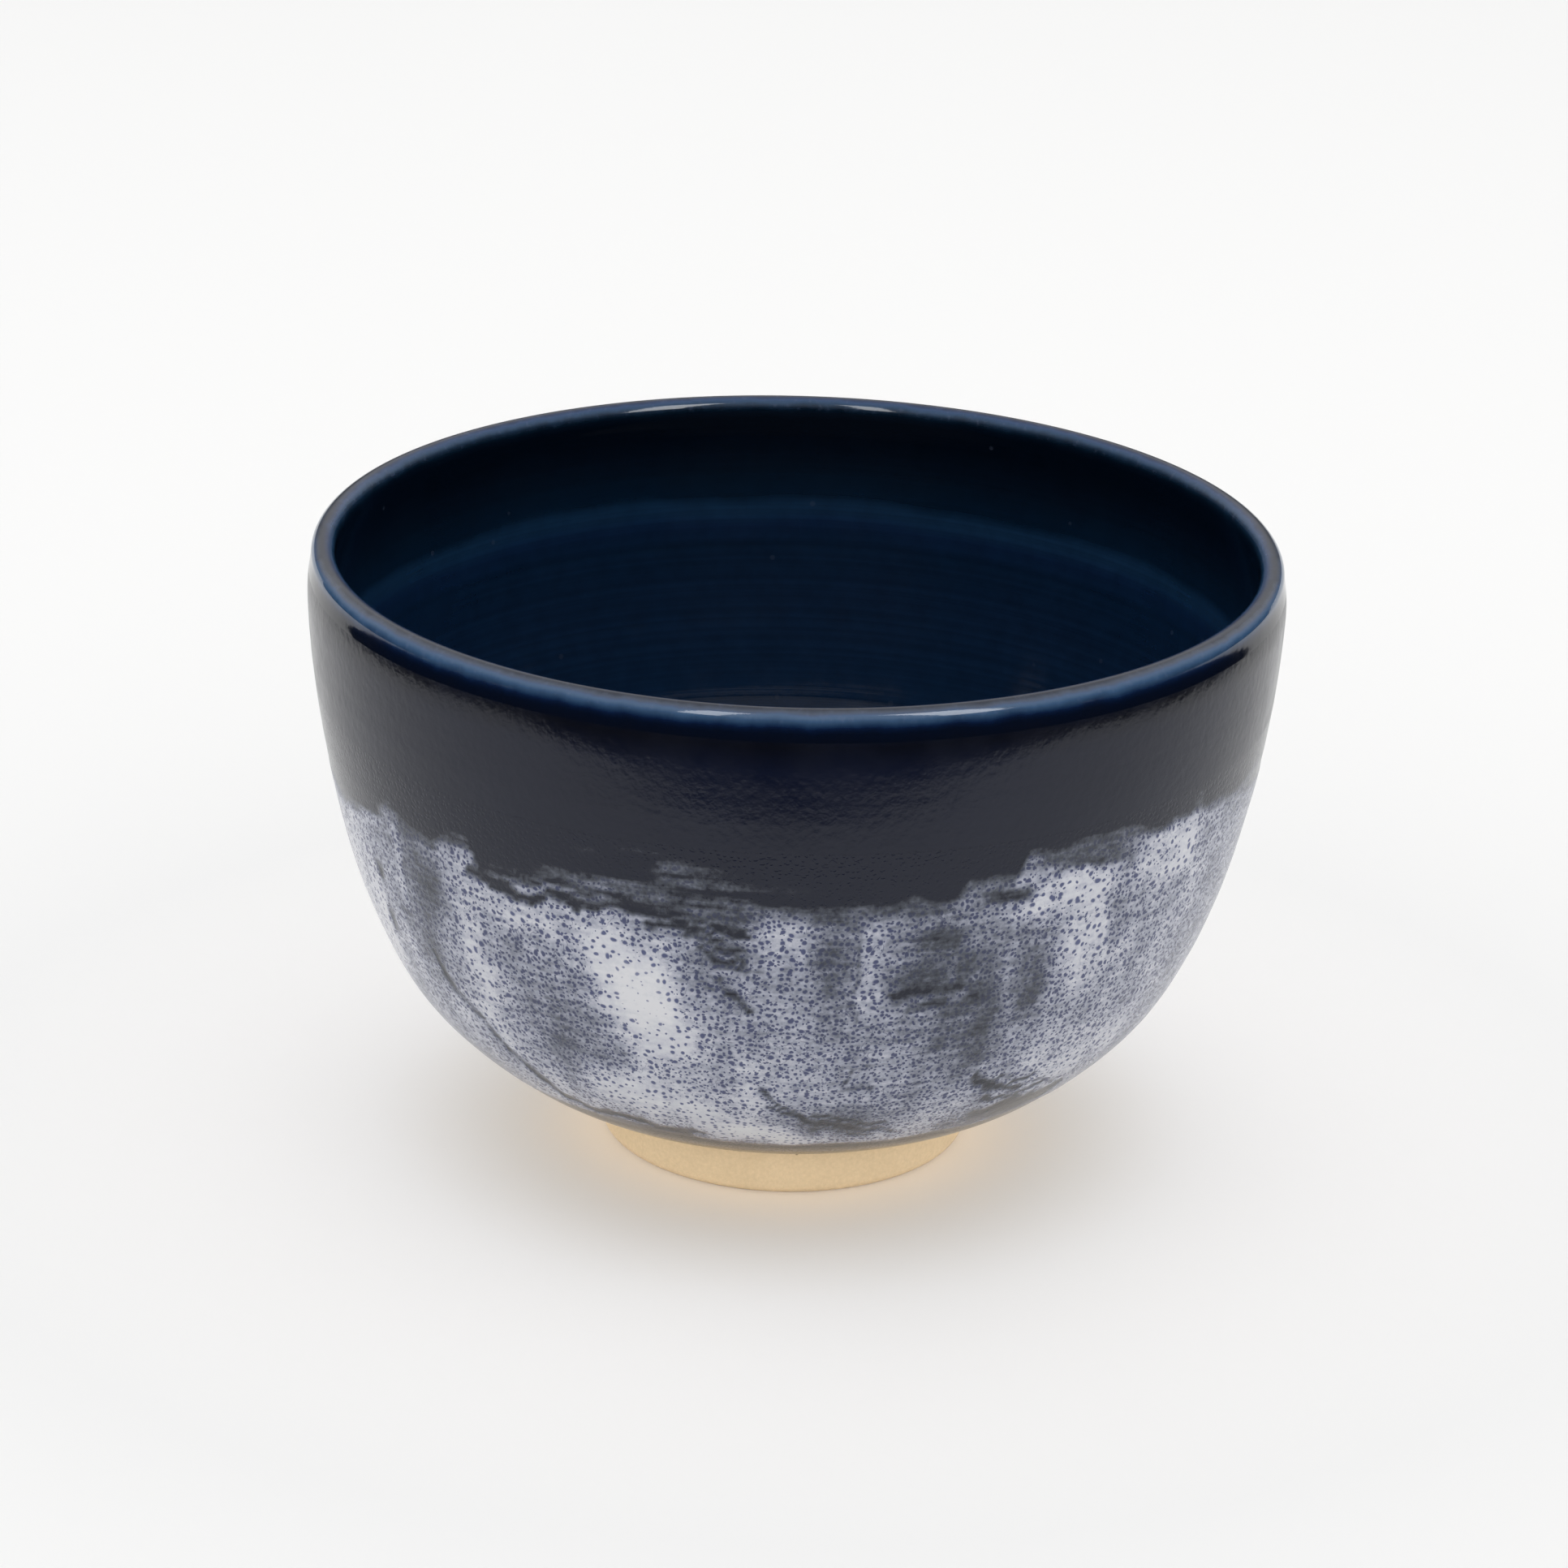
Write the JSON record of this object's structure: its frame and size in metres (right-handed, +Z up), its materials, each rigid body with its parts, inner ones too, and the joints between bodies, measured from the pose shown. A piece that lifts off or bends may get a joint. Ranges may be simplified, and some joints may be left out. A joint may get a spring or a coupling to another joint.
{
  "type": "matcha bowl",
  "caption": "Deep round stoneware tea bowl on a turned foot ring, with a navy inside, a dark dipped outside and a white brushed coat over its lower half.",
  "frame": {"origin": "centre of the plane that the foot ring rests on", "axes": "+Z up along the bowl's axis of rotation, out of its mouth; -Y is the side that faces the picture"},
  "size_m": [0.1198, 0.1198, 0.0778],
  "materials": {
    "clay": "matte bare stoneware with fine dark specks",
    "navy_glaze": "glossy deep navy",
    "lip_blue_glaze": "glossy mid blue",
    "dark_glaze": "satin blue-black with a fine orange-peel surface",
    "white_glaze": "satin white with fine navy speckle and brush marks"
  },
  "bodies": {
    "root": {"clay_body": "clay", "foot_ring": "clay", "inner_glaze": "navy_glaze", "lip_glaze": "lip_blue_glaze", "outer_dark_glaze": "dark_glaze", "white_brushed_glaze": "white_glaze"}
  },
  "joints": []
}
